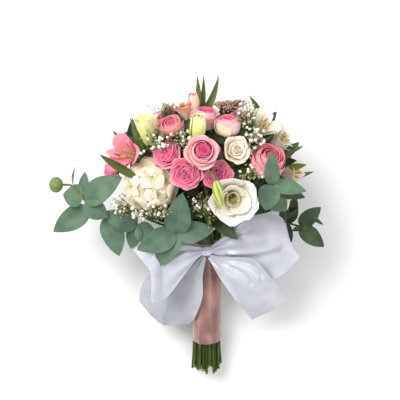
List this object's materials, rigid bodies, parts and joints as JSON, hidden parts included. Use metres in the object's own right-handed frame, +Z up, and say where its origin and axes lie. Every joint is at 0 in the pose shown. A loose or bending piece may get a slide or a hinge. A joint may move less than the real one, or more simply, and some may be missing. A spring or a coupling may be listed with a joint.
{
  "type": "bridal bouquet",
  "caption": "Hand-tied bridal bouquet of roses, lisianthus, hydrangea and eucalyptus, its stems bound in satin with a wide bow; it lies on its back.",
  "frame": {"origin": "on the surface that the bouquet lies on, under the middle of its outline", "axes": "+Y from the handle towards the head of flowers, +Z up from the surface, the way that the bouquet's front faces, and +X to the right as one looks down on its front"},
  "size_m": [0.3188, 0.3532, 0.1893],
  "materials": {
    "rose_petal": "velvety petal, deeper pink towards the centre",
    "spray_rose_petal": "velvety petal, magenta",
    "lisianthus_petal": "soft translucent petal",
    "green_petal": "soft petal, pale green to cream",
    "hydrangea_petal": "matt petal, cream",
    "alstroemeria_pink_petal": "satin petal with dark stripes",
    "alstroemeria_white_petal": "satin petal with brown stripes and green tips",
    "gypsophila": "matt, tiny florets",
    "limonium": "papery, dusty pink",
    "eucalyptus_leaf": "waxy bloom on a matt leaf",
    "green_stem": "smooth green skin",
    "rose_satin": "dusty-pink satin",
    "white_satin": "white satin"
  },
  "bodies": {
    "root": {"rose_front": "rose_petal", "rose_crown": "rose_petal", "rose_upper_right": "rose_petal", "rose_right": "rose_petal", "rose_upper_left": "rose_petal", "rose_back_left": "rose_petal", "rose_back_right": "rose_petal", "spray_rose_middle": "spray_rose_petal", "spray_rose_left": "spray_rose_petal", "spray_rose_right": "spray_rose_petal", "spray_rose_bud": "spray_rose_petal", "spray_rose_top_left": "spray_rose_petal", "spray_rose_side_left": "spray_rose_petal", "spray_rose_top_right": "spray_rose_petal", "spray_rose_side_right": "spray_rose_petal", "lisianthus_front": "lisianthus_petal", "lisianthus_cream": "lisianthus_petal", "lisianthus_back": "lisianthus_petal", "lisianthus_green": "green_petal", "green_bud": "green_petal", "hydrangea_left": "hydrangea_petal", "hydrangea_back": "hydrangea_petal", "alstroemeria_pink": "alstroemeria_pink_petal", "alstroemeria_top": "alstroemeria_pink_petal", "alstroemeria_white": "alstroemeria_white_petal", "alstroemeria_white_edge": "alstroemeria_white_petal", "alstroemeria_white_low": "alstroemeria_white_petal", "gypsophila_left": "gypsophila", "gypsophila_low": "gypsophila", "gypsophila_middle": "gypsophila", "gypsophila_right": "gypsophila", "limonium": "limonium", "eucalyptus_left": "eucalyptus_leaf", "eucalyptus_front": "eucalyptus_leaf", "eucalyptus_right": "eucalyptus_leaf", "eucalyptus_low_right": "eucalyptus_leaf", "eucalyptus_back_left": "eucalyptus_leaf", "eucalyptus_back_right": "eucalyptus_leaf", "rose_front_stem": "green_stem", "rose_crown_stem": "green_stem", "rose_upper_right_stem": "green_stem", "rose_right_stem": "green_stem", "rose_upper_left_stem": "green_stem", "rose_back_left_stem": "green_stem", "rose_back_right_stem": "green_stem", "lisianthus_front_stem": "green_stem", "lisianthus_cream_stem": "green_stem", "lisianthus_green_stem": "green_stem", "lisianthus_back_stem": "green_stem", "spray_rose_front_stem": "green_stem", "spray_rose_left_stem": "green_stem", "spray_rose_right_stem": "green_stem", "alstroemeria_left_stem": "green_stem", "alstroemeria_top_stem": "green_stem", "alstroemeria_right_stem": "green_stem", "hydrangea_left_stem": "green_stem", "hydrangea_back_stem": "green_stem", "ribbon_wrap": "rose_satin", "bow": "white_satin"}
  },
  "joints": []
}
